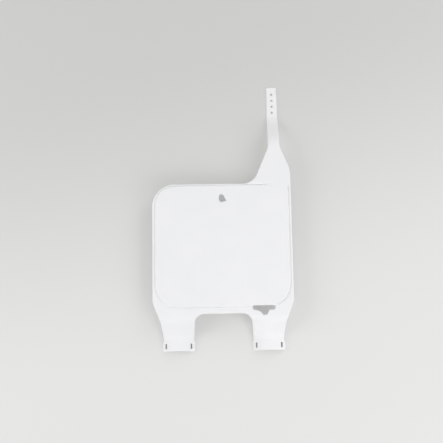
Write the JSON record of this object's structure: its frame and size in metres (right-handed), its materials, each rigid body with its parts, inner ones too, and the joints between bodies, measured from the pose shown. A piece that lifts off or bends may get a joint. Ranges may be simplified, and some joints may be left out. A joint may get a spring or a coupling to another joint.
{
  "type": "number board",
  "caption": "Moulded front number board for an off-road motorcycle, with a flat raised number field, two legs ending in tie-on fork saddles, and one long perforated handlebar strap.",
  "frame": {"origin": "middle of the board's box, on the floor that the board lies on", "axes": "+X across the board towards the side with the strap, +Y up the board from its feet to the strap's tip, +Z out of its front face"},
  "size_m": [0.281, 0.5447, 0.0387],
  "materials": {
    "white_plastic": "satin, moulded polypropylene"
  },
  "bodies": {
    "root": {"number_board": "white_plastic"}
  },
  "joints": []
}
